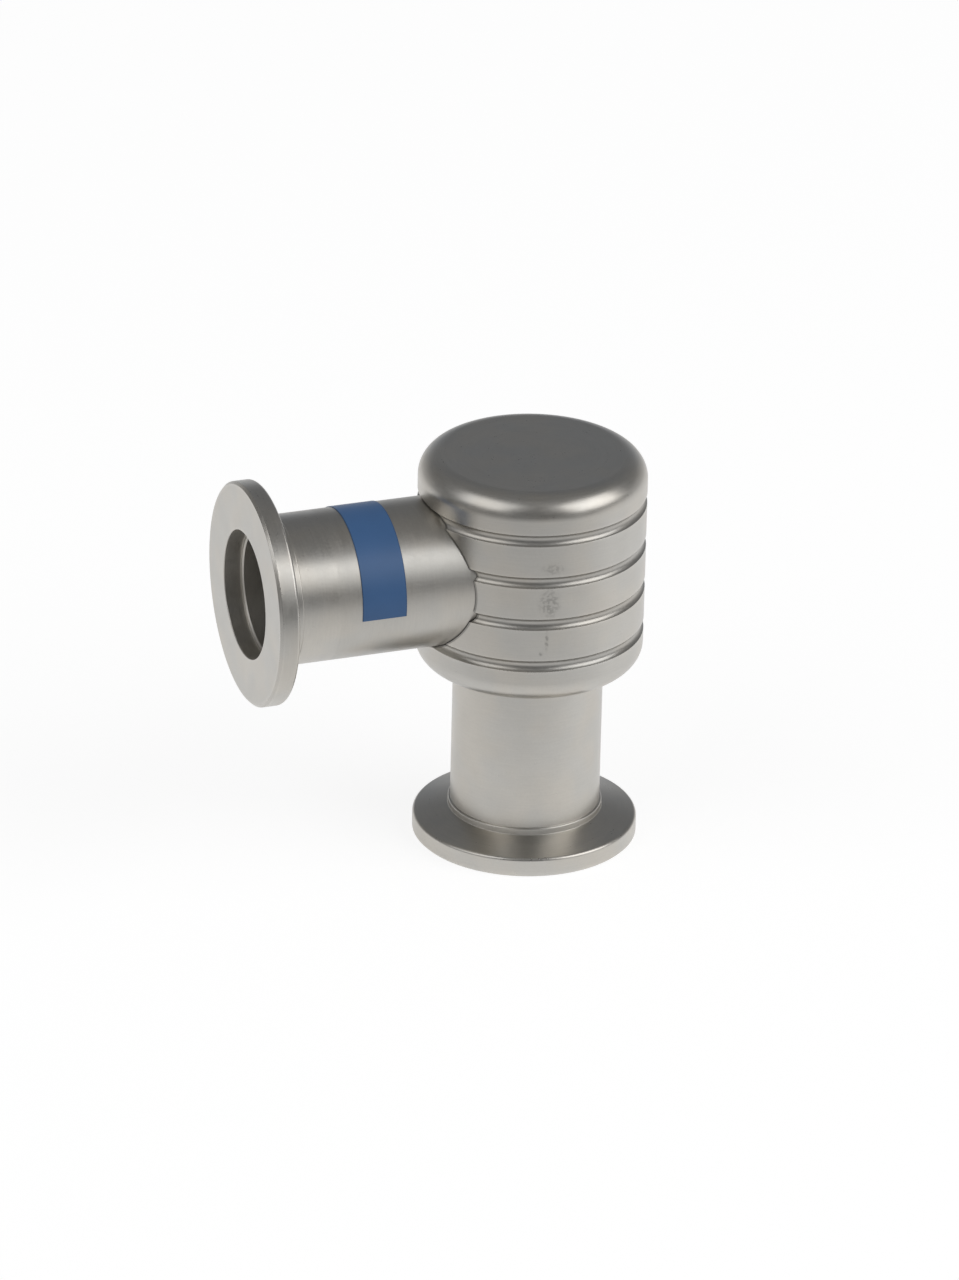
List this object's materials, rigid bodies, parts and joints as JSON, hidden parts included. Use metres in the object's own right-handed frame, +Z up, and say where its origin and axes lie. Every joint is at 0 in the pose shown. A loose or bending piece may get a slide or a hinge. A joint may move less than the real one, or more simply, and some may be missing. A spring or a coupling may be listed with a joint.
{
  "type": "vacuum elbow",
  "caption": "Right-angle vacuum elbow: a grooved corner block with a closed top, a small flange on each tube and a plain foil band.",
  "frame": {"origin": "centre of the lower port's sealing face, at the mouth of its recess", "axes": "+Z up along the lower port's axis, -X out along the side port's axis"},
  "size_m": [0.0552, 0.0304, 0.0551],
  "materials": {
    "block_steel": "satin turned and blasted stainless steel",
    "tube_steel": "satin turned stainless steel",
    "label_foil": "semi-gloss blue foil"
  },
  "bodies": {
    "root": {"elbow_body": "block_steel", "bottom_port": "tube_steel", "side_port": "tube_steel", "label_band": "label_foil"}
  },
  "joints": []
}
